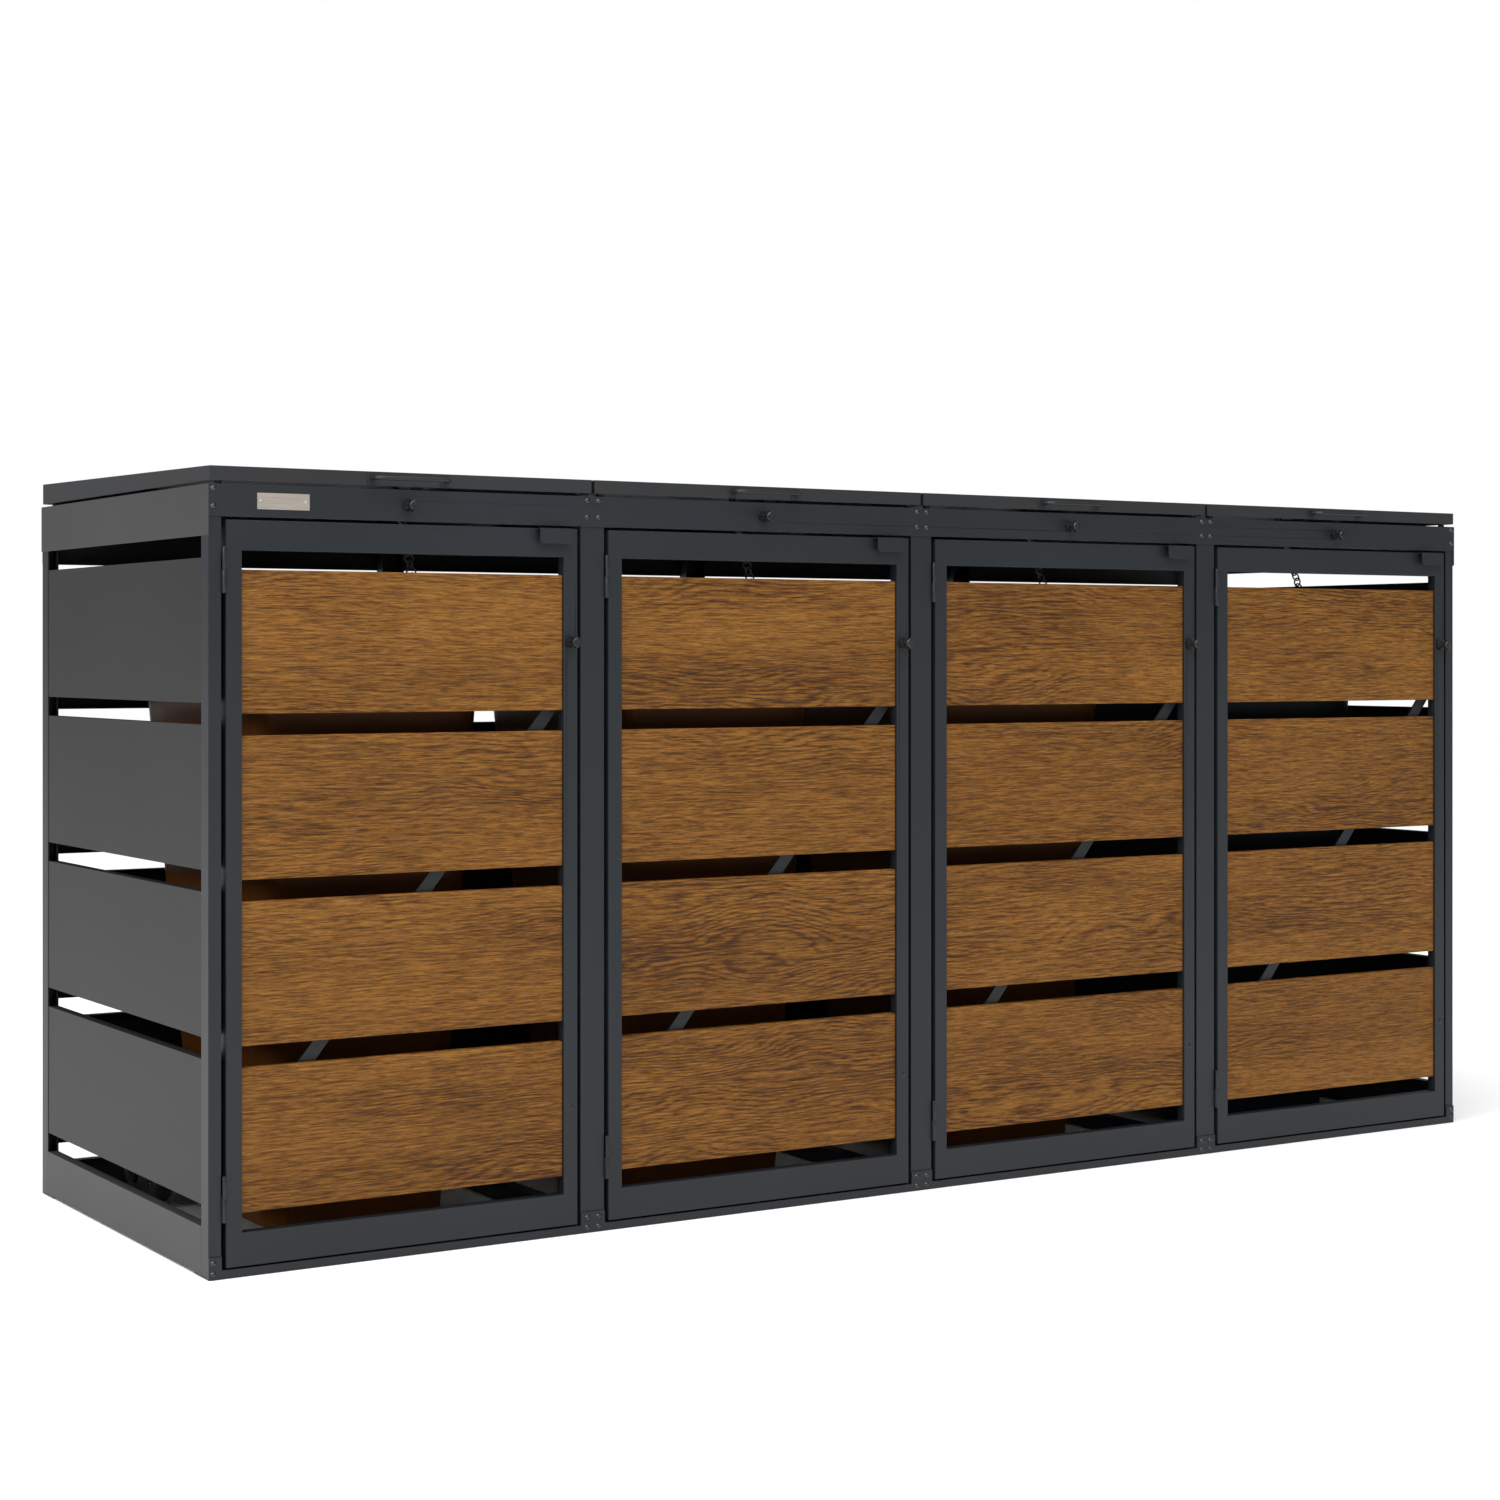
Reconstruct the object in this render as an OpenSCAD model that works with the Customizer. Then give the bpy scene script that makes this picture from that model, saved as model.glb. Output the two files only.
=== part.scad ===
// Store for four wheelie bins: a folded sheet steel frame with slatted walls. Each bay has a hinged door with
// four boards, a hinged lid, two turn latches, and a bin whose own lid is lifted by a chain under the store's lid.
// The origin is on the floor in the middle of the footprint. +X is to the right of someone facing the doors,
// +Y goes from the doors to the back wall, +Z is up.

/* [Store] */
// Outer width over the two side walls
store_w = 2640; // [2400:20:3300]
// Outer depth from the door faces to the back wall
store_d = 800; // [740:10:980]
// Height of the frame, without the lids
frame_h = 1200; // [1150:10:1450]
// Gap between the frame and the lids, filled by the buffers
lid_gap = 5; // [3:0.5:8]
// Gap between neighbouring lids
lid_seam = 6; // [4:1:10]

/* [Posts and rails] */
// Width of a middle post, seen from the front
post_w = 44; // [36:1:60]
// Depth of the side flange of a corner post
side_flange = 30; // [22:1:40]
// Depth of the returns beside the doors
post_return = 26; // [20:1:32]
// Thickness of the post sheet
post_t = 3; // [2:0.5:4]
// Height of the front top rail
rail_h = 49; // [42:1:60]
// Thickness of the rail and sill sheet
rail_t = 2.5; // [2:0.5:4]
// Height of the sill under the doors
sill_h = 13; // [10:1:16]
// Depth of the lips on the rail and the sill
lip_d = 30; // [20:1:36]
// Height of the sill's tab in front of each post foot
tab_h = 34; // [30:1:40]
// Side of the square foot plate under each post
foot_w = 60; // [50:1:80]
// Thickness of the foot plates
foot_t = 2.5; // [2:0.5:4]
// Diameter of the floor-fixing hole in each foot plate
foot_hole_d = 9; // [6:0.5:12]
// Size of the cross rails between front and rear posts
cross_rail = 28; // [20:1:36]

/* [Walls] */
// Height of one wall board
board_h = 220; // [160:1:260]
// Gap between wall boards
wall_gap = 33; // [15:1:50]
// How much lower the boards of the back wall sit than those of the side walls
rear_drop = 22; // [0:1:30]
// Height of the top bands
top_band_h = 78; // [60:1:100]
// Least height of the bottom bands, which take up what the rows of boards leave
bottom_band_min = 60; // [50:5:80]
// Thickness of the wall sheet
wall_t = 1.5; // [1:0.5:3]
// Depth of the folded edges of the boards
board_fold = 18; // [12:1:24]
// How far the boards sit behind the post faces
board_inset = 1; // [0.5:0.5:3]

/* [Doors] */
// Gap on each side of a door
door_gap = 7; // [7:0.5:10]
// Gap between the top rail and a door
door_top_gap = 5; // [4:0.5:8]
// Gap between the sill and a door
door_sill_gap = 3; // [2:0.5:6]
// Visible width of the door stiles
stile_w = 25; // [22:1:34]
// Depth of the door frame
door_d = 28; // [26:1:34]
// Depth of the inner folds of the door frame
door_fold = 20; // [16:1:22]
// Thickness of the door sheet
door_t = 2; // [1.5:0.5:3]
// Height of the door's top rail
door_top_h = 46; // [36:1:56]
// Height of the door's bottom rail
door_bottom_h = 51; // [40:1:60]
// Height of one door board
door_board_h = 219; // [150:1:260]
// Gap between door boards
door_board_gap = 33; // [15:1:50]
// How far the door boards sit behind the door face
door_board_inset = 4; // [2:1:6]
// Width of the diagonal brace
brace_w = 22; // [18:1:32]
// Thickness of the diagonal brace
brace_t = 4; // [3:0.5:5]
// Height of the upper corner of the brace's lower end above the door's lower edge
brace_low = 157; // [120:1:220]
// Gap between the brace's upper end and the latch barrel
brace_latch_gap = 48; // [1:1:80]
// Width of the pull tab
pull_w = 58; // [40:1:80]
// Height of the pull tab
pull_h = 25; // [18:1:32]
// How far the pull tab stands in front of the door
pull_reach = 14; // [10:1:20]
// Height of the plug in the free stile above the floor
plug_z = 207; // [120:1:300]

/* [Hinges] */
// Height of a door hinge
hinge_h = 70; // [50:1:90]
// Height of the lower door hinge's centre above the floor
hinge_low = 120; // [100:1:300]
// Distance of the upper door hinge's centre below the frame's top
hinge_high = 130; // [100:1:300]
// Radius of a door hinge knuckle
knuckle_r = 3; // [2.5:0.1:3]
// Radius of a door hinge pin
pin_r = 1.6; // [1.2:0.1:1.8]
// Clearance around every turning pin, axle and barrel
run_gap = 0.05; // [0.02:0.01:0.08]
// Thickness of the door hinge leaves
leaf_t = 1.2; // [1:0.1:1.5]
// Radius of a lid hinge knuckle
lid_knuckle_r = 6; // [5:0.5:7]
// Length of one lid hinge knuckle
lid_knuckle_l = 40; // [30:1:60]
// Distance of the lid hinges from the lid's ends
lid_hinge_in = 100; // [70:5:150]

/* [Lids] */
// Height of a lid's rim at the front
lid_front_h = 22; // [18:1:30]
// Height of a lid's rim at the back
lid_back_h = 35; // [28:1:50]
// Thickness of the lid sheet
lid_t = 2; // [1.5:0.5:3]
// Width of the bow handle
bow_w = 125; // [100:1:160]
// How far the bow handle stands in front of the lid
bow_reach = 28; // [26:1:36]
// Radius of the bow handle's rod
bow_r = 3.5; // [3:0.5:4]

/* [Latches] */
// Distance of the door latches below the frame's top
latch_drop = 238; // [160:1:400]
// Radius of a latch barrel
barrel_r = 8; // [6:0.5:8]
// Radius of a latch head
latch_head_r = 10; // [9:0.5:10.5]
// How far a latch stands in front of the door
latch_reach = 25; // [20:1:26]
// Width of a latch cam
cam_w = 11; // [8:1:12]
// Thickness of a latch cam
cam_t = 3; // [2:0.5:4]

/* [Bins] */
// Gap between a bin and the posts beside it
bin_side_gap = 83; // [18:1:100]
// Gap between the door's face and a bin
bin_front_gap = 120; // [44:1:130]
// Distance of a bin's hinge rod from the back wall's face
bin_back_gap = 102; // [52:1:110]
// Distance of a bin's rim below the top of the frame
bin_head_room = 270; // [150:5:300]
// Radius of a bin's wheels
wheel_r = 100; // [80:5:110]
// Width of a wheel
wheel_w = 35; // [30:1:40]
// Thickness of the bin's wall
bin_wall = 6; // [4:0.5:8]

/* [Hidden] */
$fn = 48;
eps = 0.01;
// Play between pieces that meet end to end
seam = 0.1;
bay_count = 4;
bay_parts = ["door_frame", "door_boards", "door_brace", "door_pull", "door_leaves", "door_latch", "lid", "lid_bow",
    "lid_latch", "lid_chain", "bin", "bin_lid", "wheel_set"];

// Overall places
hinge_reach = 2 * lid_knuckle_r + 1;
y_front = bow_reach - (bow_reach + store_d + hinge_reach) / 2;
y_back = y_front + store_d;
x_left = -store_w / 2;
bay_w = store_w / bay_count;
corner_w = post_w / 2;
opening_w = bay_w - post_w;
post_top = frame_h - rail_t;
post_y = y_front + rail_t;
rear_y = y_back - wall_t;

// Heights in the walls
wall_pitch = board_h + wall_gap;
wall_rows = floor((frame_h - top_band_h - wall_gap - bottom_band_min) / wall_pitch);
bottom_band_h = frame_h - top_band_h - wall_gap - wall_rows * wall_pitch;
wall_start = bottom_band_h + wall_gap;

// Door places, from the bay's left post line
door_x = post_w / 2 + door_gap;
door_w = opening_w - 2 * door_gap;
door_z = sill_h + door_sill_gap;
door_top = frame_h - rail_h - door_top_gap;
door_h = door_top - door_z;
door_free = door_h - door_top_h - door_bottom_h;
door_pitch = door_board_h + door_board_gap;
door_rows = floor(door_free / door_pitch);
door_stack = door_rows * door_pitch - door_board_gap;
door_start = door_z + door_bottom_h + (door_free - door_stack) / 2;
board_t = door_fold - door_board_inset;
door_axis_x = post_w / 2 + door_gap / 2;
door_axis_y = y_front - 1;
latch_x = door_x + door_w - stile_w / 2;
// The door cam's depth behind the face and its reach, and how far the folds of the side boards
// are cut back at the front so that the turned cam swings clear of them
door_cam_y = max(door_d, side_flange + rail_t) + 1;
door_cam_l = stile_w / 2 + door_gap + 8;
cam_clear = 2;
fold_cut = (door_cam_y + cam_t + cam_clear - rail_t - side_flange) * (board_fold - wall_t)
    / (bay_w - 2 * wall_t - board_inset - latch_x - door_cam_l);
latch_z = frame_h - latch_drop;

// Lid places
lid_z = frame_h + lid_gap;
lid_w = bay_w - lid_seam;
lid_axis_y = y_back + lid_knuckle_r + 1;
lid_axis_z = lid_z - 2;
rail_mid = frame_h - rail_h / 2;
catch_x = 14;
catch_w = 22;

// Bin places
bin_w = opening_w - 2 * bin_side_gap;
bin_y0 = y_front + bin_front_gap;
bin_axis_y = y_back - bin_back_gap;
bin_y1 = bin_axis_y - 22;
bin_rim = frame_h - bin_head_room;
bin_axis_z = bin_rim + 18;
bin_lid_h = 26;
bin_lug_r = 12;
bin_base = 25;
axle_y = bin_axis_y - wheel_r + 12;
axle_r = 10;
bin_rod_r = 6;

// Chain between the store's lid and the bin's lid: it runs parallel to the line between the two hinges
chain_x = bay_w / 2 + 100;
chain_y = bin_y0 - (bin_axis_y - lid_axis_y) + 34;
chain_z = lid_z + 13;
chain_dy = bin_axis_y - lid_axis_y;
chain_dz = bin_axis_z - lid_axis_z;
chain_l = sqrt(chain_dy * chain_dy + chain_dz * chain_dz);
link_r = 8;
wire_r = 1.5;
link_steps = 2 * ceil((chain_l - 2 * link_r) / (4 * (link_r - wire_r - 0.1)));
link_pitch = (chain_l - 2 * link_r) / link_steps;
eye_r = 5;

function bay_x(bay) = x_left + (bay - 1) * bay_w;
// Height of the lid sheet's underside at a place along Y
function lid_under(y) = lid_z + lid_front_h - lid_t
    + (y - y_front - lid_t) * (lid_back_h - lid_front_h) / (store_d - 2 * lid_t);

// Moves its children from the bay's left post line to their bay
module at_bay(bay) {
    translate([bay_x(bay), 0, 0]) children();
}

// Repeats its children at each of the two ends of the store, mirrored
module both_ends() {
    for (side = [0, 1]) mirror([side, 0, 0]) children();
}

// A profile drawn in Y and Z, carried along X
module along_x(length) {
    rotate([90, 0, 90]) linear_extrude(length) children();
}

// Folded channel seen from above: a face of width w along X and a return at each end, towards +Y
module channel_profile(w, left, right, t) {
    polygon([[0, 0], [w, 0], [w, right], [w - t, right], [w - t, t], [t, t], [t, left], [0, left]]);
}

// Folded board: its face is towards -Y, its upper and lower edges are folded towards +Y
module folded_board(length, height) {
    along_x(length) polygon([[0, 0], [board_fold, 0], [board_fold, wall_t], [wall_t, wall_t],
        [wall_t, height - wall_t], [board_fold, height - wall_t], [board_fold, height], [0, height]]);
}

// Dome head of a bolt or a rivet, standing towards -Y
module dome_head(r, h) {
    ball = (r * r + h * h) / (2 * h);
    rotate([90, 0, 0]) intersection() {
        translate([0, 0, h - ball]) sphere(ball);
        cylinder(r = r, h = h);
    }
}

// Square foot plate with its floor-fixing hole, from its corner towards +X and +Y
module foot_plate(w, hole_x) {
    difference() {
        cube([w, foot_w, foot_t]);
        translate([hole_x, foot_w * 3 / 4, -eps]) cylinder(d = foot_hole_d, h = foot_t + 2 * eps);
    }
}

// Left corner post at y = 0, its faces towards -X and -Y
module corner_post(return_d) {
    translate([0, 0, foot_t + seam]) linear_extrude(post_top - foot_t - seam)
        channel_profile(corner_w - wall_t, side_flange, return_d, post_t);
    foot_plate(foot_w, foot_w * 3 / 4);
}

module corner_posts() {
    color("#34383d") both_ends() {
        translate([x_left + wall_t, post_y, 0]) corner_post(post_return);
        translate([x_left + wall_t, rear_y, 0]) mirror([0, 1, 0]) corner_post(post_return);
    }
}

// One middle post with a foot plate behind it, its face towards -Y
module middle_post() {
    translate([-post_w / 2, 0, 0]) {
        translate([0, 0, foot_t + seam]) linear_extrude(post_top - foot_t - seam)
            channel_profile(post_w, post_return, post_return, post_t);
        foot_plate(post_w, post_w / 2);
    }
}

// Rail that joins a front post to a rear post under the seam between two lids
module cross_rail_between(z) {
    length = rear_y - post_y - 2 * post_t - 2 * seam;
    translate([-cross_rail / 2, post_y + post_t + seam, z]) rotate([-90, 0, 0]) linear_extrude(length)
        translate([0, -cross_rail]) channel_profile(cross_rail, cross_rail, cross_rail, post_t);
}

module middle_posts() {
    color("#34383d") for (post = [2:bay_count]) translate([bay_x(post), 0, 0]) {
        translate([0, post_y, 0]) middle_post();
        translate([0, rear_y, 0]) mirror([0, 1, 0]) middle_post();
        cross_rail_between(post_top - cross_rail);
        cross_rail_between(foot_t + seam);
    }
}

// Top rail: a face with a lip over the posts, slots in it for the lid catches, and a short lip above the doors
module top_rail() {
    length = store_w - 2 * wall_t;
    difference() {
        translate([x_left + wall_t, y_front, frame_h - rail_h]) along_x(length)
            polygon([[0, 0], [rail_t, 0], [rail_t, rail_h - rail_t], [lip_d, rail_h - rail_t],
                [lip_d, rail_h], [0, rail_h]]);
        for (bay = [1:bay_count]) translate([bay_x(bay) + bay_w / 2, y_front, 0]) {
            translate([0, -1, rail_mid]) rotate([-90, 0, 0]) cylinder(r = barrel_r + run_gap, h = rail_t + 2);
            translate([catch_x - 2, rail_t + 2.5, post_top - 1]) cube([catch_w + 4, lip_d, rail_t + 2]);
        }
    }
    for (bay = [1:bay_count]) translate([bay_x(bay) + post_w / 2, y_front + rail_t - eps, frame_h - rail_h])
        cube([opening_w, 12, rail_t]);
}

// Sill: a low face along the whole front, a lip under each door and a tab in front of each post foot
module sill() {
    translate([x_left + wall_t, y_front, 0]) cube([store_w - 2 * wall_t, rail_t, sill_h]);
    for (bay = [1:bay_count]) translate([bay_x(bay) + post_w / 2, y_front + rail_t - eps, sill_h - rail_t])
        cube([opening_w, lip_d - rail_t, rail_t]);
    for (post = [2:bay_count]) translate([bay_x(post) - post_w / 2, y_front, sill_h - eps])
        cube([post_w, rail_t, tab_h - sill_h]);
    both_ends() translate([x_left + wall_t, y_front, sill_h - eps])
        cube([corner_w - wall_t, rail_t, tab_h - sill_h]);
}

module front_rails() {
    color("#343a3f") {
        top_rail();
        sill();
    }
}

// Side top band, flush with the front corner, with a lip under the lids
module side_top_band() {
    translate([x_left, y_front, frame_h - top_band_h]) cube([wall_t, store_d, top_band_h]);
    translate([x_left + wall_t - eps, y_front + lip_d + seam, frame_h - wall_t])
        cube([lip_d, store_d - 2 * lip_d - 2 * seam, wall_t]);
}

module bands() {
    side_l = rear_y - post_y - 2 * side_flange;
    color("#3b3e43") {
        both_ends() {
            side_top_band();
            translate([x_left + wall_t, rear_y - side_flange, foot_t + seam]) rotate([0, 0, -90])
                folded_board(side_l, bottom_band_h - foot_t - seam);
        }
        translate([x_left + wall_t + seam, rear_y, frame_h - top_band_h - rear_drop])
            cube([store_w - 2 * (wall_t + seam), wall_t, top_band_h + rear_drop]);
        translate([x_left + wall_t + seam, y_back - lip_d, frame_h - wall_t])
            cube([store_w - 2 * (wall_t + seam), lip_d - wall_t + eps, wall_t]);
        for (bay = [1:bay_count]) translate([bay_x(bay) + post_w / 2 + opening_w, rear_y, foot_t + seam])
            rotate([0, 0, 180]) folded_board(opening_w, bottom_band_h - rear_drop - foot_t - seam);
    }
}

module wall_boards() {
    side_l = rear_y - post_y - 2 * side_flange;
    color("#46484c") for (row = [0:wall_rows - 1]) translate([0, 0, wall_start + row * wall_pitch]) {
        both_ends() translate([x_left + wall_t + board_inset, rear_y - side_flange, 0])
            rotate([0, 0, -90]) difference() {
                folded_board(side_l, board_h);
                translate([side_l - fold_cut, wall_t, -1]) cube([fold_cut + 1, board_fold, board_h + 2]);
            }
        for (bay = [1:bay_count])
            translate([bay_x(bay) + post_w / 2 + opening_w, rear_y - board_inset, -rear_drop])
                rotate([0, 0, 180]) folded_board(opening_w, board_h);
    }
}

// Blank steel plate with two rivets, on the top rail of the first bay
plate_w = 85;
plate_h = 25;
plate_t = 1;
plate_x = 121;

module nameplate() {
    color("#c9c9c6") translate([x_left + plate_x, y_front, rail_mid]) {
        translate([-plate_w / 2, -plate_t, -plate_h / 2]) cube([plate_w, plate_t, plate_h]);
        for (side = [-1, 1]) translate([side * (plate_w / 2 - 6), -plate_t, 0]) dome_head(2.5, 1.2);
    }
}

// Dome-headed bolts: two at each corner and four at each middle post, at the top rail and at the sill
bolt_r = 4.5;
bolt_head_h = 3;
bolt_edge = 7;
bolt_rise = 27;
bolt_side = 8.5;
bolt_half = 10.5;

module bolt_pair(rise, z) {
    for (step = [0, 1]) translate([0, y_front, z + step * rise]) dome_head(bolt_r, bolt_head_h);
}

module bolts() {
    top_low = frame_h - bolt_edge - bolt_rise;
    sill_rise = tab_h - 2 * 9;
    color("#2b2e32") {
        both_ends() translate([x_left + bolt_side, 0, 0]) {
            bolt_pair(bolt_rise, top_low);
            bolt_pair(sill_rise, 9);
        }
        for (post = [2:bay_count]) for (side = [-1, 1])
            translate([bay_x(post) + side * bolt_half, 0, 0]) {
                bolt_pair(bolt_rise, top_low);
                bolt_pair(sill_rise, 9);
            }
    }
}

// Door hinge centres above the floor
door_hinges = [hinge_low, frame_h - hinge_high];

// Fixed half of a door hinge: pin, lower knuckle and a leaf against the post
module door_hinge_fixed() {
    half = hinge_h / 2 - 0.25;
    translate([0, 0, -hinge_h / 2]) {
        cylinder(r = knuckle_r, h = half);
        cylinder(r = pin_r, h = hinge_h);
        translate([-door_gap / 2, 0, 0]) cube([leaf_t, post_return + rail_t + 1, half]);
        translate([-door_gap / 2, -0.5, 0]) cube([door_gap / 2, 1, half]);
    }
}

// Moving half of a door hinge: upper knuckle and a leaf against the door
module door_hinge_moving() {
    half = hinge_h / 2 - 0.25;
    difference() {
        translate([0, 0, hinge_h / 2 - half]) {
            cylinder(r = knuckle_r, h = half);
            translate([door_gap / 2 - leaf_t, 0, 0]) cube([leaf_t, door_d + 1, half]);
            translate([0, -0.5, 0]) cube([door_gap / 2, 1, half]);
        }
        translate([0, 0, -1]) cylinder(r = pin_r + run_gap, h = hinge_h);
    }
}

// One half of a lid hinge: leaf on the wall side and one knuckle
module lid_hinge_half(up) {
    leaf_h = up ? lid_back_h : 40;
    translate([0, y_back, up ? lid_axis_z : lid_axis_z - leaf_h]) cube([lid_knuckle_l, 3, leaf_h]);
    translate([0, lid_axis_y, lid_axis_z]) rotate([0, 90, 0]) cylinder(r = lid_knuckle_r, h = lid_knuckle_l);
}

// Left ends of the two hinges of a lid, from the bay's left post line
lid_hinge_x = [lid_hinge_in, bay_w - lid_hinge_in - 2 * lid_knuckle_l - 1];
lid_pin_r = 3;

module fixed_hinges() {
    color("#24272a") for (bay = [1:bay_count]) at_bay(bay) {
        for (z = door_hinges) translate([door_axis_x, door_axis_y, z]) door_hinge_fixed();
        for (x = lid_hinge_x) translate([x, 0, 0]) {
            lid_hinge_half(false);
            translate([0, lid_axis_y, lid_axis_z]) rotate([0, 90, 0])
                cylinder(r = lid_pin_r, h = 2 * lid_knuckle_l);
        }
    }
}

// Stile channel of a door, its face towards -Y; the outer return is on the left
module stile() {
    translate([0, 0, door_z]) linear_extrude(door_h) channel_profile(stile_w, door_d, door_fold, door_t);
}

// Rail channel of a door between the stiles, with returns towards +Y
module door_rail(h, outer_low) {
    low_d = outer_low ? door_d : door_fold;
    high_d = outer_low ? door_fold : door_d;
    along_x(door_w - 2 * stile_w) polygon([[0, 0], [low_d, 0], [low_d, door_t], [door_t, door_t],
        [door_t, h - door_t], [high_d, h - door_t], [high_d, h], [0, h]]);
}

module door_frame(bay) {
    color("#343a3f") at_bay(bay) translate([door_x, y_front, 0]) {
        stile();
        difference() {
            translate([door_w, 0, 0]) mirror([1, 0, 0]) stile();
            translate([door_w - stile_w / 2, -1, latch_z]) rotate([-90, 0, 0])
                cylinder(r = barrel_r + run_gap, h = door_t + 2);
        }
        translate([door_w - stile_w / 2, 0, plug_z]) dome_head(5, 1.5);
        translate([stile_w, 0, door_z]) door_rail(door_bottom_h, true);
        translate([stile_w, 0, door_top - door_top_h]) door_rail(door_top_h, false);
    }
}

module door_boards(bay) {
    board_w = door_w - 2 * stile_w;
    color("#8a5a24") at_bay(bay) translate([door_x + stile_w, y_front + door_board_inset, door_start])
        for (row = [0:door_rows - 1]) translate([0, 0, row * door_pitch])
            cube([board_w, board_t, door_board_h]);
}

module door_brace(bay) {
    run = door_w - stile_w;
    rise = latch_z - barrel_r - brace_latch_gap - door_z - brace_low;
    slant = brace_w * sqrt(run * run + rise * rise) / run;
    color("#2b2f33") at_bay(bay)
        translate([door_x + stile_w / 2, y_front + door_fold + brace_t, door_z + brace_low])
        rotate([90, 0, 0]) linear_extrude(brace_t)
            polygon([[0, -slant], [run, rise - slant], [run, rise], [0, 0]]);
}

module door_pull(bay) {
    corner_r = 6;
    color("#343a3f") at_bay(bay)
        translate([door_x + door_w - stile_w - pull_w + 8, y_front, door_top - pull_h]) {
            translate([0, -pull_reach + door_t, 0]) rotate([90, 0, 0]) linear_extrude(door_t) union() {
                translate([corner_r, 0]) square([pull_w - corner_r, pull_h]);
                translate([0, corner_r]) square([pull_w, pull_h - corner_r]);
                translate([corner_r, corner_r]) circle(corner_r);
            }
            translate([0, -pull_reach, pull_h - door_t]) cube([pull_w, pull_reach, door_t]);
        }
}

module door_leaves(bay) {
    color("#24272a") at_bay(bay) for (z = door_hinges)
        translate([door_axis_x, door_axis_y, z]) door_hinge_moving();
}

// Turn latch on its own axis along Y: grip in front of the face, barrel through it and cam behind it,
// standing up while the latch is released
module turn_latch(cam_y, cam_l) {
    rotate([-90, 0, 0]) {
        translate([0, 0, -9]) cylinder(r = latch_head_r, h = 8.7);
        translate([0, 0, -latch_reach + 5]) cylinder(r = 4.5, h = latch_reach - 13);
        translate([0, 0, -latch_reach]) cylinder(r = 6.5, h = 6);
        translate([0, 0, -1]) cylinder(r = barrel_r, h = cam_y + 1 + eps);
        translate([0, 0, cam_y]) cylinder(r = cam_w / 2, h = cam_t);
    }
    translate([-cam_w / 2, cam_y, 0]) cube([cam_w, cam_t, cam_l]);
}

module door_latch(bay) {
    color("#17181a") at_bay(bay) translate([latch_x, y_front, latch_z])
        turn_latch(door_cam_y, door_cam_l);
}

module lid_latch(bay) {
    color("#17181a") at_bay(bay) translate([bay_w / 2, y_front, rail_mid])
        turn_latch(rail_t + 8.5, rail_h / 2 - rail_t - 2);
}

// Lid: sloping sheet with a rim all round, buffers, catch and moving hinge halves
module lid_shell() {
    x0 = lid_seam / 2;
    translate([x0, y_front, lid_z]) {
        along_x(lid_w) polygon([[0, 0], [lid_t, 0], [lid_t, lid_front_h - lid_t],
            [store_d - lid_t, lid_back_h - lid_t], [store_d - lid_t, 0], [store_d, 0],
            [store_d, lid_back_h], [0, lid_front_h]]);
        for (x = [0, lid_w - lid_t]) translate([x, lid_t - eps, 0]) along_x(lid_t)
            polygon([[0, 0], [store_d - 2 * lid_t + 2 * eps, 0],
                [store_d - 2 * lid_t + 2 * eps, lid_back_h - lid_t + eps], [0, lid_front_h - lid_t + eps]]);
    }
}

// Catch plate that hangs behind the top rail, with a foot under the turned latch cam
module lid_catch() {
    foot_z = rail_mid - cam_w / 2 - 7;
    translate([bay_w / 2 + catch_x, y_front + 20, foot_z]) {
        cube([catch_w, lid_t, lid_z + lid_front_h - lid_t - seam - foot_z]);
        translate([0, -11, 0]) cube([catch_w, 11 - seam, lid_t]);
    }
}

// Eye plate for an end of the chain, hole at the origin, with an arm up or down
module eye_plate(down, arm) {
    rotate([0, 90, 0]) difference() {
        union() {
            translate([0, 0, -1.5]) cylinder(r = 8, h = 3);
            translate([down ? 0 : -arm, -8, -1.5]) cube([arm, 16, 3]);
        }
        translate([0, 0, -2]) cylinder(r = eye_r, h = 4);
    }
}

module lid(bay) {
    buffer_h = lid_gap - 0.2;
    color("#3a3d42") at_bay(bay) {
        lid_shell();
        lid_catch();
        for (x = [lid_seam / 2 + 18, bay_w - lid_seam / 2 - 18]) for (y = [y_front + 16, y_back - 16])
            translate([x, y, lid_z - buffer_h]) cylinder(r = 6, h = buffer_h + lid_front_h - lid_t);
        difference() {
            for (x = lid_hinge_x) translate([x + lid_knuckle_l + 1, 0, 0]) lid_hinge_half(true);
            translate([0, lid_axis_y, lid_axis_z]) rotate([0, 90, 0])
                cylinder(r = lid_pin_r + run_gap, h = bay_w);
        }
        translate([chain_x, chain_y, chain_z]) eye_plate(false, lid_under(chain_y) - chain_z + 0.5);
    }
}

// Bow handle: a rod bent twice, on two small feet
module lid_bow(bay) {
    out = bow_reach - bow_r;
    color("#2b2e32") at_bay(bay) translate([bay_w / 2, y_front, lid_z + 11]) {
        for (side = [-1, 1]) translate([side * bow_w / 2, 0, 0]) {
            translate([-7, -2, -10]) cube([14, 2, 17]);
            rotate([90, 0, 0]) cylinder(r = bow_r, h = out);
            translate([0, -out, 0]) sphere(bow_r);
        }
        translate([-bow_w / 2, -out, 0]) rotate([0, 90, 0]) cylinder(r = bow_r, h = bow_w);
    }
}

module chain_link() {
    rotate_extrude() translate([link_r, 0]) circle(wire_r, $fn = 24);
}

// Chain of round links, each turned a quarter from the one before
module lid_chain(bay) {
    lean = atan2(-chain_dy, -chain_dz);
    color("#8d9094") at_bay(bay) translate([chain_x, chain_y, chain_z]) rotate([-lean, 0, 0])
        for (k = [0:link_steps]) translate([0, 0, -link_r - k * link_pitch])
            rotate([0, 0, (k % 2) * 90]) rotate([90, 0, 0]) chain_link();
}

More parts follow.
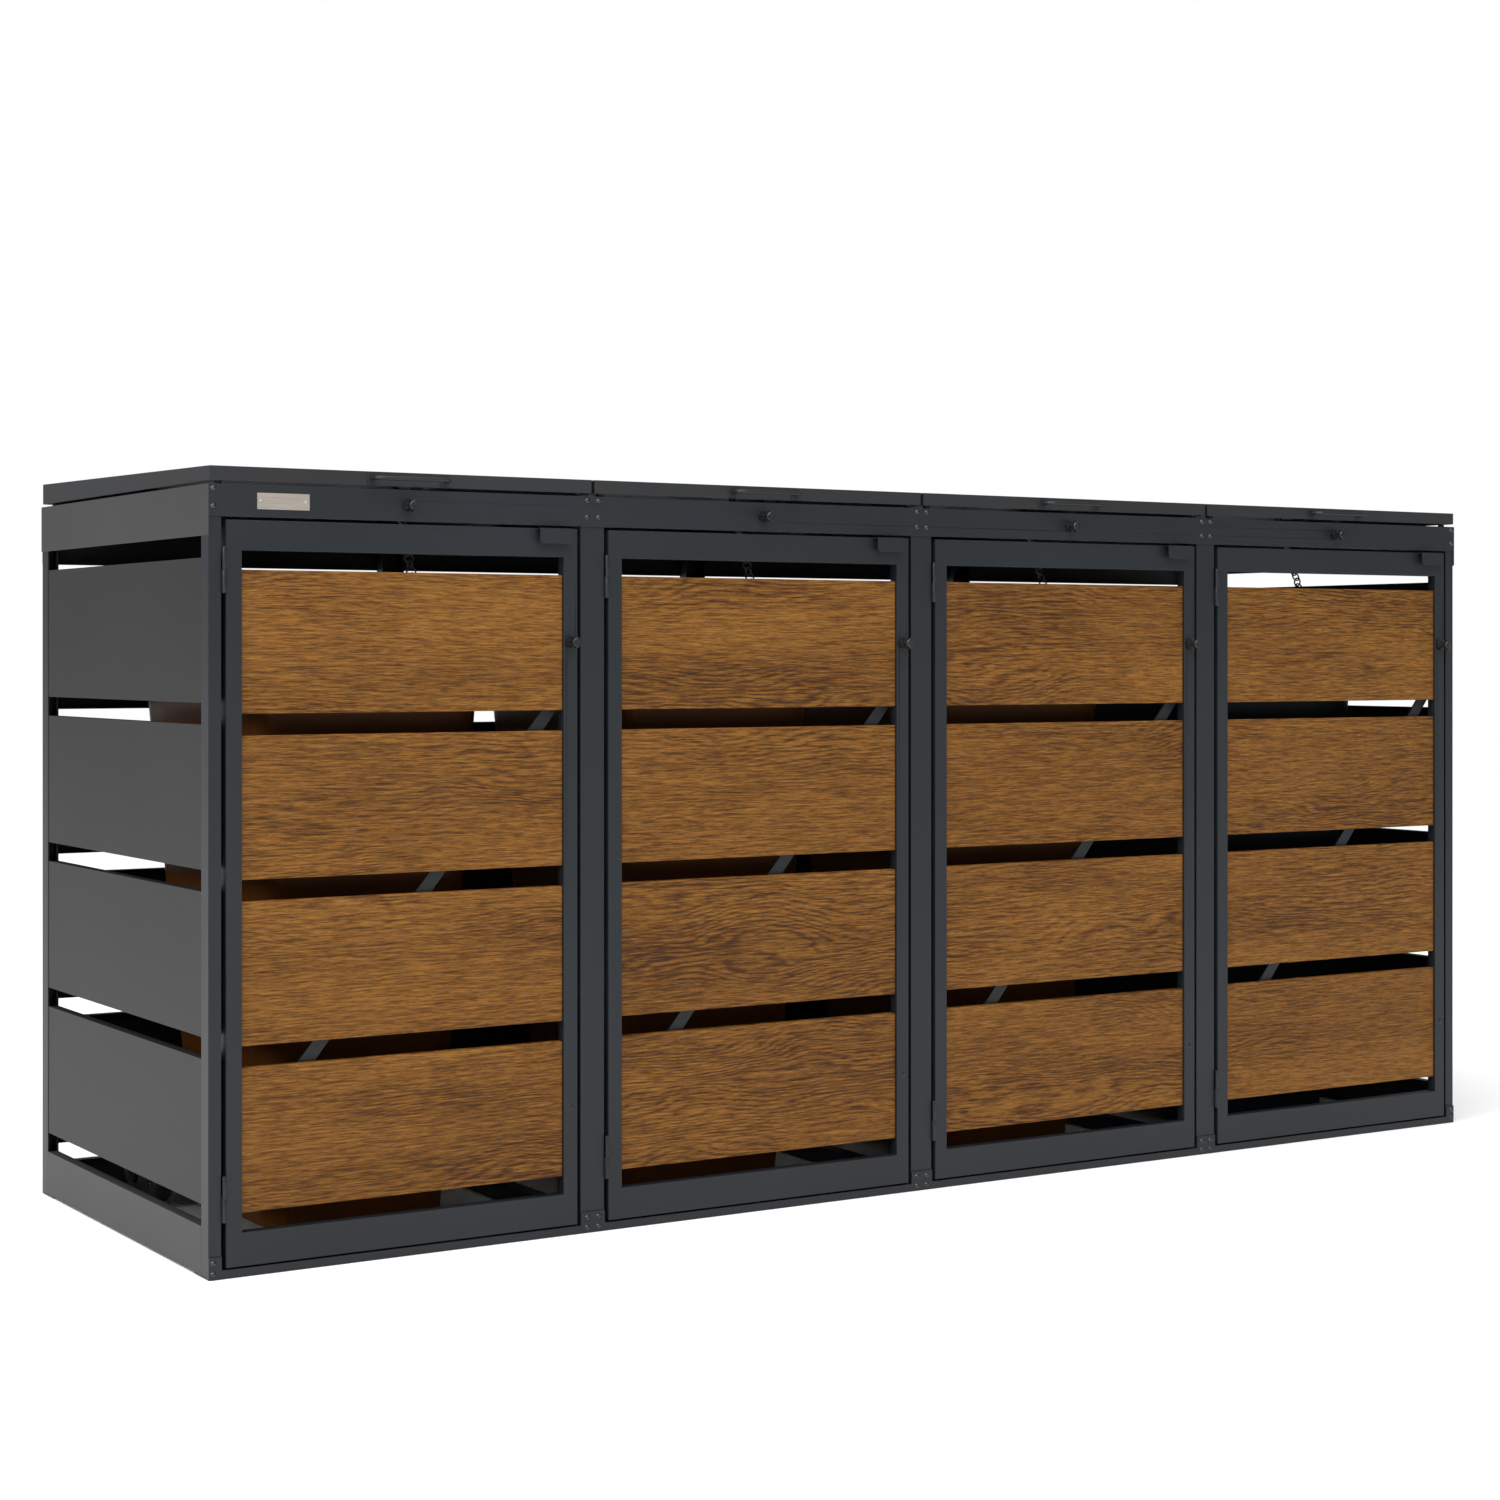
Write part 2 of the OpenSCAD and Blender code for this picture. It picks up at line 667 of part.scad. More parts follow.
// Slab with rounded corners from y0 to y1, centred on x = 0
module round_slab(w, y0, y1, z, h, r) {
    hull() for (x = [-1, 1]) for (y = [y0 + r, y1 - r])
        translate([x * (w / 2 - r), y, z]) cylinder(r = r, h = h, $fn = 32);
}

// Tapered block between a lower and an upper rounded slab
module taper(low_w, low_y0, low_y1, low_z, high_w, high_y0, high_y1, high_z, r) {
    hull() {
        for (x = [-1, 1]) for (y = [low_y0 + r, low_y1 - r])
            translate([x * (low_w / 2 - r), y, low_z]) cylinder(r = r, h = 1, $fn = 32);
        for (x = [-1, 1]) for (y = [high_y0 + r, high_y1 - r])
            translate([x * (high_w / 2 - r), y, high_z - 1]) cylinder(r = r, h = 1, $fn = 32);
    }
}

// Tub: tapered wall, rim, hinge rod with lugs, axle lugs and front feet
module bin(bay) {
    tone = bay < 4 ? "#6b3a10" : "#24272c";
    in = 18;
    narrow = 50;
    top_w = bin_w - 2 * in;
    low_w = top_w - 2 * narrow;
    low_y0 = bin_y0 + in + 40;
    low_y1 = bin_y1 - in - 120;
    color(tone) at_bay(bay) translate([bay_w / 2, 0, 0]) difference() {
        union() {
            taper(low_w, low_y0, low_y1, bin_base, top_w, bin_y0 + in, bin_y1 - in, bin_rim, 45);
            round_slab(bin_w, bin_y0, bin_y1, bin_rim - 28, 28, 50);
            for (side = [-1, 1]) {
                translate([side * (bin_w / 2 - 60) - 8, 0, 0]) {
                    translate([0, bin_y1 - 10, bin_rim - 28]) cube([16, bin_axis_y - bin_y1 + 22, 28]);
                    translate([0, bin_axis_y - bin_lug_r, bin_rim - 1])
                        cube([16, 2 * bin_lug_r, bin_axis_z - bin_rim + 1]);
                    translate([0, bin_axis_y, bin_axis_z]) rotate([0, 90, 0]) cylinder(r = bin_lug_r, h = 16);
                }
                translate([side * (low_w / 2 - 7) - 10, low_y1 - 30, wheel_r - 20])
                    cube([20, axle_y - low_y1 + 30, 40]);
                translate([side * (low_w / 2 - 7) - 10, axle_y, wheel_r]) rotate([0, 90, 0])
                    cylinder(r = 20, h = 20);
                translate([side * (low_w / 2 - 60) - 20, low_y0 + 6, 0]) cube([40, 60, bin_base + 10]);
            }
            translate([-bin_w / 2 + 60, bin_axis_y, bin_axis_z]) rotate([0, 90, 0])
                cylinder(r = bin_rod_r, h = bin_w - 120);
        }
        taper(low_w - 2 * bin_wall, low_y0 + bin_wall, low_y1 - bin_wall, bin_base + bin_wall,
            top_w - 2 * bin_wall, bin_y0 + in + bin_wall, bin_y1 - in - bin_wall, bin_rim + 1, 40);
        translate([-bin_w, axle_y, wheel_r]) rotate([0, 90, 0]) cylinder(r = axle_r + run_gap, h = 2 * bin_w);
    }
}

// Bin lid: hollow crowned cover with two hinge knuckles round the rod and an eye for the chain
module bin_lid(bay) {
    tone = bay < 4 ? "#6b3a10" : "#24272c";
    low = bin_rim + 0.5;
    high = bin_rim + bin_lid_h;
    color(tone) at_bay(bay) {
        translate([bay_w / 2, 0, 0]) difference() {
            union() {
                taper(bin_w, bin_y0 - 4, bin_y1 - 1, low, bin_w - 50, bin_y0 + 25, bin_y1 - 30, high, 50);
                for (side = [-1, 1]) {
                    translate([side * (bin_w / 2 - 97) - 25, bin_y1 - 32, bin_axis_z - 10]) cube([50, 54, 12]);
                    translate([side * (bin_w / 2 - 97) - 25, bin_axis_y, bin_axis_z]) rotate([0, 90, 0])
                        cylinder(r = 11, h = 50);
                }
            }
            taper(bin_w - 2 * bin_wall, bin_y0 - 4 + bin_wall, bin_y1 - 1 - bin_wall, low - 1,
                bin_w - 50 - 2 * bin_wall, bin_y0 + 25 + bin_wall, bin_y1 - 30 - bin_wall, high - bin_wall, 44);
            translate([-bin_w / 2, bin_axis_y, bin_axis_z]) rotate([0, 90, 0])
                cylinder(r = bin_rod_r + run_gap, h = bin_w);
        }
        translate([chain_x, chain_y + chain_dy, chain_z + chain_dz]) eye_plate(true, 9);
    }
}

// Axle with its two wheels
module wheel_set(bay) {
    color("#1c1d1f") at_bay(bay) translate([bay_w / 2, axle_y, wheel_r]) rotate([0, 90, 0]) {
        cylinder(r = axle_r, h = bin_w - 10, center = true);
        for (side = [-1, 1]) translate([0, 0, side * (bin_w / 2 - wheel_w / 2 - 5)]) difference() {
            cylinder(r = wheel_r, h = wheel_w, center = true);
            for (face = [-1, 1]) translate([0, 0, face * wheel_w / 2])
                difference() {
                    cylinder(r = wheel_r - 22, h = 16, center = true);
                    cylinder(r = 26, h = 20, center = true);
                }
        }
    }
}

corner_posts();
middle_posts();
front_rails();
bands();
wall_boards();
nameplate();
bolts();
fixed_hinges();
for (bay = [1:bay_count]) {
    door_frame(bay);
    door_boards(bay);
    door_brace(bay);
    door_pull(bay);
    door_leaves(bay);
    door_latch(bay);
    lid(bay);
    lid_bow(bay);
    lid_latch(bay);
    lid_chain(bay);
    bin(bay);
    bin_lid(bay);
    wheel_set(bay);
}
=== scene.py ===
import math
import bpy
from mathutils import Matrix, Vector


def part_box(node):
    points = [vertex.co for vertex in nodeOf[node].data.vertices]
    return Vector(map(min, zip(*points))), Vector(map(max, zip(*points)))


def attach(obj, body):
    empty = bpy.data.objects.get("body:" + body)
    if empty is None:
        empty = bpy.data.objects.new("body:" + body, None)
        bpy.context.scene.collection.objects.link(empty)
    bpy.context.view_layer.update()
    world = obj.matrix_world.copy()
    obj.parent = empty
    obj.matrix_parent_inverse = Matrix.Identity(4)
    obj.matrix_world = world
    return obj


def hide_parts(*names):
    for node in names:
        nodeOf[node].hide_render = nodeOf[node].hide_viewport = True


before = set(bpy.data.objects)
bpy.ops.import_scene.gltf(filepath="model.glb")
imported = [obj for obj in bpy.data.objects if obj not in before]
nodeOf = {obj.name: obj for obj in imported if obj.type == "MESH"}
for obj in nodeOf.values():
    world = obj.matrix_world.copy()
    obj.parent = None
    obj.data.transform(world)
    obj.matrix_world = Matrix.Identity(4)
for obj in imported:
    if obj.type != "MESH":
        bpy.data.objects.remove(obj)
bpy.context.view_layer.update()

bayCount = 4
print("frame loaded:", len(nodeOf), "nodes")


# ---- node helpers for the finishes
def newFinish(name):
    mat = bpy.data.materials.new(name)
    mat.use_nodes = True
    mat.node_tree.nodes.clear()
    return mat, mat.node_tree


def addNode(tree, kind, **settings):
    node = tree.nodes.new(kind)
    for key, value in settings.items():
        if key in node.inputs:
            node.inputs[key].default_value = value
        else:
            setattr(node, key, value)
    return node


def join(tree, fromSocket, toSocket):
    tree.links.new(fromSocket, toSocket)


def surface(tree, **sockets):
    shader = addNode(tree, "ShaderNodeBsdfPrincipled")
    for key, value in sockets.items():
        shader.inputs[key.replace("_", " ")].default_value = value
    out = addNode(tree, "ShaderNodeOutputMaterial")
    join(tree, shader.outputs["BSDF"], out.inputs["Surface"])
    return shader


def place(tree, scale):
    # object coordinates in metres, stretched by scale
    coord = addNode(tree, "ShaderNodeTexCoord")
    mapping = addNode(tree, "ShaderNodeMapping")
    mapping.inputs["Scale"].default_value = scale
    join(tree, coord.outputs["Object"], mapping.inputs["Vector"])
    return mapping.outputs["Vector"]


def noiseAt(tree, vector, scale, detail=4.0, rough=0.5):
    node = addNode(tree, "ShaderNodeTexNoise", Scale=scale, Detail=detail, Roughness=rough)
    join(tree, vector, node.inputs["Vector"])
    return node.outputs["Fac"]


def rampOf(tree, factor, stops):
    node = addNode(tree, "ShaderNodeValToRGB")
    ramp = node.color_ramp
    while len(ramp.elements) < len(stops):
        ramp.elements.new(0.5)
    for element, (pos, colour) in zip(ramp.elements, stops):
        element.position = pos
        element.color = (*colour, 1)
    join(tree, factor, node.inputs["Fac"])
    return node.outputs["Color"]


def mathOf(tree, operation, a, b=0.0, c=0.0):
    node = addNode(tree, "ShaderNodeMath", operation=operation)
    for slot, value in zip(node.inputs, (a, b, c)):
        if isinstance(value, (int, float)):
            slot.default_value = value
        else:
            join(tree, value, slot)
    return node.outputs[0]


def mixOf(tree, factor, a, b, blend="MIX"):
    node = addNode(tree, "ShaderNodeMix", data_type="RGBA", blend_type=blend)
    for slot, value in ((node.inputs[0], factor), (node.inputs[6], a), (node.inputs[7], b)):
        if isinstance(value, (int, float)):
            slot.default_value = value
        elif isinstance(value, tuple):
            slot.default_value = (*value, 1)
        else:
            join(tree, value, slot)
    return node.outputs[2]


def bumpOf(tree, height, strength, distance, shader, under=None):
    node = addNode(tree, "ShaderNodeBump", Strength=strength, Distance=distance)
    join(tree, height, node.inputs["Height"])
    if under is not None:
        join(tree, under, node.inputs["Normal"])
    join(tree, node.outputs["Normal"], shader.inputs["Normal"])
    return node.outputs["Normal"]


# ---- finishes
coat = {  # powder-coated sheet: colour, roughness, height of the fine texture in metres
    "anthracite": ((0.0098, 0.0127, 0.0157), 0.42, 0.00012),
    "wallGrey": ((0.032, 0.032, 0.034), 0.50, 0.00012),
    "boardGrey": ((0.0108, 0.0108, 0.0117), 0.52, 0.00012),
    "lidGrey": ((0.0160, 0.0170, 0.0186), 0.46, 0.00012),
    # the fittings' own dark colour; on the door braces this darker finish is painted shade
    "hingeDarkAndBraceShade": ((0.010, 0.012, 0.014), 0.40, 0.00008),
}


def powderCoat(name):
    colour, roughness, grain = coat[name]
    mat, tree = newFinish(name)
    shader = surface(tree, Specular_IOR_Level=0.35)
    where = place(tree, (1, 1, 1))
    cloud = noiseAt(tree, where, 2.3, 3.0)
    speck = noiseAt(tree, where, 900.0, 2.0)
    darker = tuple(c * 0.86 for c in colour)
    lighter = tuple(c * 1.16 for c in colour)
    base = rampOf(tree, cloud, [(0.3, darker), (0.7, lighter)])
    fine = rampOf(tree, speck, [(0.35, (0.82, 0.82, 0.82)), (0.65, (1.15, 1.15, 1.15))])
    join(tree, mixOf(tree, 1.0, base, fine, "MULTIPLY"), shader.inputs["Base Color"])
    rough = mathOf(tree, "MULTIPLY_ADD", speck, 0.12, roughness - 0.06)
    join(tree, rough, shader.inputs["Roughness"])
    bumpOf(tree, speck, 0.5, grain, shader)
    return mat


oak = {
    "dark": (0.042, 0.014, 0.002),
    "middle": (0.152, 0.061, 0.0085),
    "light": (0.246, 0.110, 0.020),
    "ringsPerMetre": 120.0,
    "figure": 17.0,
}


def oakBoard():
    # decor with its grain along X: arching growth rings, plain streaks between them and short dark pores
    mat, tree = newFinish("oakBoard")
    shader = surface(tree, Specular_IOR_Level=0.18)
    coord = addNode(tree, "ShaderNodeTexCoord").outputs["Object"]
    parts = addNode(tree, "ShaderNodeSeparateXYZ")
    join(tree, coord, parts.inputs["Vector"])
    x, y, z = parts.outputs
    low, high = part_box("door_boards_1")
    pitch = (high.z - low.z + 0.033) / 4  # from one board to the next
    row = mathOf(tree, "FLOOR", mathOf(tree, "DIVIDE", mathOf(tree, "SUBTRACT", z, low.z - 0.01), pitch))
    bay = mathOf(tree, "FLOOR", mathOf(tree, "DIVIDE", x, 0.66))
    shift = mathOf(tree, "MULTIPLY_ADD", row, 3.71, mathOf(tree, "MULTIPLY", bay, 1.37))
    alongX = mathOf(tree, "ADD", x, shift)
    acrossZ = mathOf(tree, "MULTIPLY_ADD", row, 0.113, z)

    def grain(perX, perZ, detail, rough=0.5):
        node = addNode(tree, "ShaderNodeCombineXYZ")
        join(tree, mathOf(tree, "MULTIPLY", alongX, perX), node.inputs[0])
        join(tree, mathOf(tree, "MULTIPLY", acrossZ, perZ), node.inputs[2])
        join(tree, mathOf(tree, "MULTIPLY", y, 40.0), node.inputs[1])
        return noiseAt(tree, node.outputs[0], 1.0, detail, rough)

    swirl = grain(2.6, 10.0, 2.0, 0.4)
    jitter = grain(26.0, 180.0, 2.0)
    evenRings = mathOf(tree, "MULTIPLY", acrossZ, oak["ringsPerMetre"])
    turns = mathOf(tree, "MULTIPLY_ADD", swirl, oak["figure"], evenRings)
    turns = mathOf(tree, "MULTIPLY_ADD", jitter, 1.1, turns)
    ring = mathOf(tree, "FRACT", turns)
    ringLine = mathOf(tree, "POWER", mathOf(tree, "PINGPONG", mathOf(tree, "MULTIPLY", ring, 2.0), 1.0), 2.0)
    figured = rampOf(tree, grain(1.7, 7.0, 2.0), [(0.42, (0, 0, 0)), (0.60, (1, 1, 1))])
    streak = grain(24.0, 520.0, 4.0, 0.65)
    broad = grain(1.3, 9.0, 2.0)
    pores = rampOf(tree, grain(62.0, 640.0, 2.0), [(0.36, (1, 1, 1)), (0.50, (0, 0, 0))])
    tone = mathOf(tree, "MULTIPLY_ADD", streak, 1.15, mathOf(tree, "MULTIPLY_ADD", broad, 0.3, -0.2))
    ringTone = mathOf(tree, "MULTIPLY", mathOf(tree, "MULTIPLY", ringLine, figured), -0.22)
    tone = mathOf(tree, "ADD", tone, ringTone)
    colour = rampOf(tree, tone, [(0.28, oak["dark"]), (0.50, oak["middle"]), (0.72, oak["light"])])
    colour = mixOf(tree, mathOf(tree, "MULTIPLY", pores, 0.5), colour, oak["dark"])
    join(tree, colour, shader.inputs["Base Color"])
    join(tree, mathOf(tree, "MULTIPLY_ADD", streak, 0.2, 0.45), shader.inputs["Roughness"])
    relief = mathOf(tree, "MULTIPLY_ADD", pores, -0.6, streak)
    bumpOf(tree, relief, 0.5, 0.0006, shader)
    return mat


moulded = {"binBrown": ((0.150, 0.050, 0.0085), 0.38), "binGrey": ((0.012, 0.016, 0.022), 0.38)}


def mouldedPlastic(name):
    colour, roughness = moulded[name]
    mat, tree = newFinish(name)
    shader = surface(tree, Specular_IOR_Level=0.15)
    where = place(tree, (1, 1, 1))
    cloud = noiseAt(tree, where, 5.0, 4.0)
    grain = noiseAt(tree, where, 650.0, 3.0)
    scuff = noiseAt(tree, place(tree, (90, 90, 6)), 1.0, 5.0)
    darker = tuple(c * 0.85 for c in colour)
    lighter = tuple(c * 1.12 for c in colour)
    base = rampOf(tree, cloud, [(0.3, darker), (0.7, lighter)])
    join(tree, base, shader.inputs["Base Color"])
    join(tree, mathOf(tree, "MULTIPLY_ADD", scuff, 0.22, roughness - 0.1), shader.inputs["Roughness"])
    bumpOf(tree, grain, 0.35, 0.00015, shader)
    return mat


def latchBlack():
    mat, tree = newFinish("latchBlack")
    shader = surface(tree, Specular_IOR_Level=0.6)
    where = place(tree, (1, 1, 1))
    wear = noiseAt(tree, where, 60.0, 5.0)
    join(tree, rampOf(tree, wear, [(0.4, (0.006, 0.006, 0.007)), (0.75, (0.016, 0.016, 0.017))]),
         shader.inputs["Base Color"])
    join(tree, mathOf(tree, "MULTIPLY_ADD", wear, 0.2, 0.14), shader.inputs["Roughness"])
    bumpOf(tree, noiseAt(tree, where, 800.0, 2.0), 0.2, 0.0001, shader)
    return mat


def brushedPlate():
    mat, tree = newFinish("brushedPlate")
    shader = surface(tree, Metallic=0.35, Anisotropic=0.5)
    lines = noiseAt(tree, place(tree, (20, 400, 2600)), 1.0, 3.0)
    join(tree, rampOf(tree, lines, [(0.3, (0.27, 0.245, 0.215)), (0.7, (0.42, 0.38, 0.335))]),
         shader.inputs["Base Color"])
    join(tree, mathOf(tree, "MULTIPLY_ADD", lines, 0.25, 0.25), shader.inputs["Roughness"])
    bumpOf(tree, lines, 0.3, 0.0001, shader)
    return mat


def zincPlate():
    mat, tree = newFinish("zincPlate")
    shader = surface(tree, Metallic=1.0)
    spangle = noiseAt(tree, place(tree, (1, 1, 1)), 240.0, 4.0)
    join(tree, rampOf(tree, spangle, [(0.35, (0.30, 0.31, 0.32)), (0.65, (0.55, 0.56, 0.58))]),
         shader.inputs["Base Color"])
    join(tree, mathOf(tree, "MULTIPLY_ADD", spangle, 0.3, 0.22), shader.inputs["Roughness"])
    bumpOf(tree, spangle, 0.25, 0.0001, shader)
    return mat


def blackRubber():
    mat, tree = newFinish("blackRubber")
    shader = surface(tree, Specular_IOR_Level=0.4)
    where = place(tree, (1, 1, 1))
    dust = noiseAt(tree, where, 30.0, 6.0)
    join(tree, rampOf(tree, dust, [(0.4, (0.012, 0.012, 0.013)), (0.8, (0.035, 0.034, 0.033))]),
         shader.inputs["Base Color"])
    join(tree, mathOf(tree, "MULTIPLY_ADD", dust, 0.2, 0.62), shader.inputs["Roughness"])
    bumpOf(tree, noiseAt(tree, where, 500.0, 3.0), 0.4, 0.0003, shader)
    return mat


finish = {name: powderCoat(name) for name in coat}
finish.update({name: mouldedPlastic(name) for name in moulded})
finish["oakBoard"] = oakBoard()
finish["latchBlack"] = latchBlack()
finish["brushedPlate"] = brushedPlate()
finish["zincPlate"] = zincPlate()
finish["blackRubber"] = blackRubber()
print("finishes made:", len(finish))


# ---- carried-over CAD nodes: finish, and eased edges by modifiers
def dress(node, finishName, edge=0.0006):
    piece = nodeOf[node]
    for index in range(len(piece.material_slots)):
        piece.material_slots[index].material = finish[finishName]
    if edge:
        weld = piece.modifiers.new("weld", "WELD")
        weld.merge_threshold = 0.00001
        bevel = piece.modifiers.new("easedEdge", "BEVEL")
        bevel.width = edge
        bevel.segments = 2
        bevel.limit_method = "ANGLE"
        bevel.angle_limit = math.radians(40)
        bevel.use_clamp_overlap = True


for node in ("corner_posts", "middle_posts", "front_rails"):
    dress(node, "anthracite")
dress("bands", "wallGrey", 0.0005)
dress("wall_boards", "boardGrey", 0.0005)
dress("nameplate", "brushedPlate", 0)
dress("bolts", "latchBlack", 0)
dress("fixed_hinges", "hingeDarkAndBraceShade", 0.0003)
for bay in range(1, bayCount + 1):
    plastic = "binBrown" if bay < bayCount else "binGrey"
    dress(f"door_frame_{bay}", "anthracite", 0.0007)
    dress(f"door_boards_{bay}", "oakBoard", 0.0018)
    # the brace takes the darker hinge finish instead of the frame's anthracite: painted shade for a part that
    # sits in shadow behind the boards
    dress(f"door_brace_{bay}", "hingeDarkAndBraceShade", 0.0004)
    dress(f"door_pull_{bay}", "anthracite", 0.0006)
    dress(f"door_leaves_{bay}", "hingeDarkAndBraceShade", 0.0003)
    dress(f"door_latch_{bay}", "latchBlack", 0.0004)
    dress(f"lid_{bay}", "lidGrey", 0.0007)
    dress(f"lid_latch_{bay}", "latchBlack", 0.0004)
    dress(f"lid_chain_{bay}", "zincPlate", 0)
    dress(f"bin_{bay}", plastic, 0)
    dress(f"bin_lid_{bay}", plastic, 0)
print("CAD nodes dressed")


# ---- mesh helpers for the pieces, each giving points and faces in metres
def block(low, high):
    points = [(x, y, z) for z in (low[2], high[2]) for y in (low[1], high[1]) for x in (low[0], high[0])]
    return points, [(0, 2, 3, 1), (4, 5, 7, 6), (0, 1, 5, 4), (2, 6, 7, 3), (0, 4, 6, 2), (1, 3, 7, 5)]


def gusset(x, width, wall, out, low, high):
    # upright triangle on a wall: full depth at the top, none at the foot
    points = [(x + side * width / 2, y, z) for side in (-1, 1) for y, z in ((wall, low), (wall, high),
        (out, high))]
    return points, [(0, 1, 2), (3, 5, 4), (0, 3, 4, 1), (1, 4, 5, 2), (2, 5, 3, 0)]


def turned(profile, centre, axis, steps=48):
    # profile: places along the axis with a radius, from one end to the other
    turn = Vector(axis).to_track_quat("Z", "Y").to_matrix()
    points = []
    for along, radius in profile:
        for k in range(steps):
            angle = 2 * math.pi * k / steps
            spot = Vector((radius * math.cos(angle), radius * math.sin(angle), along))
            points.append(tuple(Vector(centre) + turn @ spot))
    faces = [tuple(reversed(range(steps)))]
    for ring in range(len(profile) - 1):
        for k in range(steps):
            after = (k + 1) % steps
            near, far = ring * steps, (ring + 1) * steps
            faces.append((near + k, near + after, far + after, far + k))
    faces.append(tuple(range((len(profile) - 1) * steps, len(profile) * steps)))
    return points, faces


def piece(name, parts, finishName, body, edge=0.0, smooth=35):
    points, faces = [], []
    for partPoints, partFaces in parts:
        start = len(points)
        points += partPoints
        faces += [tuple(start + i for i in face) for face in partFaces]
    mesh = bpy.data.meshes.new(name)
    mesh.from_pydata(points, [], faces)
    mesh.materials.append(finish[finishName])
    mesh.shade_smooth()
    mesh.set_sharp_from_angle(angle=math.radians(smooth))
    item = bpy.data.objects.new(name, mesh)
    bpy.context.scene.collection.objects.link(item)
    if edge:
        bevel = item.modifiers.new("easedEdge", "BEVEL")
        bevel.width = edge
        bevel.segments = 2
        bevel.limit_method = "ANGLE"
        bevel.angle_limit = math.radians(40)
    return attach(item, body)


def middleOf(node):
    low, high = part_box(node)
    return low, high, (low + high) / 2


# ---- wheels: tyre with a rounded tread and a groove, dished disc, hub and the axle between them
tyre = {"width": 0.035, "shoulder": 0.007, "groove": 0.0025, "disc": 0.078, "dish": 0.008, "hub": 0.026,
    "axle": 0.010}


def wheelSet(bay):
    low, high, mid = middleOf(f"wheel_set_{bay}")
    radius = (high.z - low.z) / 2
    half = tyre["width"] / 2
    inset = half - tyre["dish"]
    rubber, spokes = [], []
    for side in (-1, 1):
        centre = (mid.x + side * ((high.x - low.x) / 2 - half), mid.y, mid.z)
        step = tyre["shoulder"]
        rubber.append(turned([
            (-inset, tyre["disc"]), (-half, tyre["disc"]), (-half, radius - step),
            (-half + step * 0.3, radius - step * 0.3), (-half + step, radius), (-0.003, radius),
            (-0.002, radius - tyre["groove"]), (0.002, radius - tyre["groove"]), (0.003, radius),
            (half - step, radius), (half - step * 0.3, radius - step * 0.3), (half, radius - step),
            (half, tyre["disc"]), (inset, tyre["disc"])], centre, (1, 0, 0), 64))
        spokes.append(turned([(-half + 0.0005, tyre["hub"] - 0.003), (-half + 0.0035, tyre["hub"]),
            (half - 0.0035, tyre["hub"]), (half - 0.0005, tyre["hub"] - 0.003)], centre, (1, 0, 0), 40))
        for face in (-1, 1):
            for k in range(6):
                angle = math.pi * k / 3
                near, far = tyre["hub"] - 0.002, tyre["disc"] + 0.001
                across = (-math.sin(angle) * 0.004, math.cos(angle) * 0.004)
                points = []
                for depth in (inset - 0.001, inset + 0.004):
                    for reach, wide in ((near, -1), (near, 1), (far, 1), (far, -1)):
                        points.append((centre[0] + face * depth,
                            centre[1] + math.cos(angle) * reach + across[0] * wide,
                            centre[2] + math.sin(angle) * reach + across[1] * wide))
                sides = [(0, 3, 2, 1), (4, 5, 6, 7), (0, 1, 5, 4), (1, 2, 6, 5), (2, 3, 7, 6), (3, 0, 4, 7)]
                spokes.append((points, sides if face > 0 else [tuple(reversed(s)) for s in sides]))
    reach = (high.x - low.x) / 2 - 0.002
    spokes.append(turned([(-reach, tyre["axle"]), (reach, tyre["axle"])], mid, (1, 0, 0), 32))
    tyres = piece(f"tyres_{bay}", rubber, "blackRubber", f"wheels_{bay}")
    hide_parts(f"wheel_set_{bay}")
    hubs = piece(f"wheelHubs_{bay}", spokes, "latchBlack", f"wheels_{bay}", 0.0005)


# ---- bow handles of the lids: bent rod on two foot plates
bow = {"rod": 0.0035, "rodRise": 0.010, "bend": 0.011, "foot": 0.014, "footRise": 0.017,
    "footThick": 0.002, "bendSteps": 8}


def bowHandle(bay):
    low, high, mid = middleOf(f"lid_bow_{bay}")
    rod = bow["rod"]
    half = (high.x - low.x) / 2 - bow["foot"] / 2
    face, out = high.y, low.y + rod
    rise = low.z + bow["rodRise"]
    line = [(mid.x - half, face)]
    for turn, side in ((180, -1), (270, 1)):
        centre = (mid.x + side * (half - bow["bend"]), out + bow["bend"])
        for k in range(bow["bendSteps"] + 1):
            angle = math.radians(turn + 90 * k / bow["bendSteps"])
            line.append((centre[0] + bow["bend"] * math.cos(angle), centre[1] + bow["bend"] * math.sin(angle)))
    line.append((mid.x + half, face))
    data = bpy.data.curves.new(f"bowHandle_{bay}", "CURVE")
    data.dimensions = "3D"
    data.bevel_depth = rod
    data.bevel_resolution = 5
    data.use_fill_caps = True
    spline = data.splines.new("POLY")
    spline.points.add(len(line) - 1)
    for point, (x, y) in zip(spline.points, line):
        point.co = (x, y, rise, 1)
    spline.use_smooth = True
    data.materials.append(finish["hingeDarkAndBraceShade"])
    handle = bpy.data.objects.new(f"bowHandle_{bay}", data)
    bpy.context.scene.collection.objects.link(handle)
    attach(handle, f"lid_cover_{bay}")
    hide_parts(f"lid_bow_{bay}")
    feet = [block((mid.x + side * half - bow["foot"] / 2, face - bow["footThick"], low.z),
        (mid.x + side * half + bow["foot"] / 2, face, low.z + bow["footRise"])) for side in (-1, 1)]
    plates = piece(f"bowFeet_{bay}", feet, "hingeDarkAndBraceShade", f"lid_cover_{bay}", 0.0005)


# ---- latch grips: a rounded knob with a raised wing, in front of the CAD latch's head
grip = {"knob": 0.0078, "neck": 0.0050, "wing": 0.0024, "wingHalf": 0.0095, "wingDeep": 0.0120}


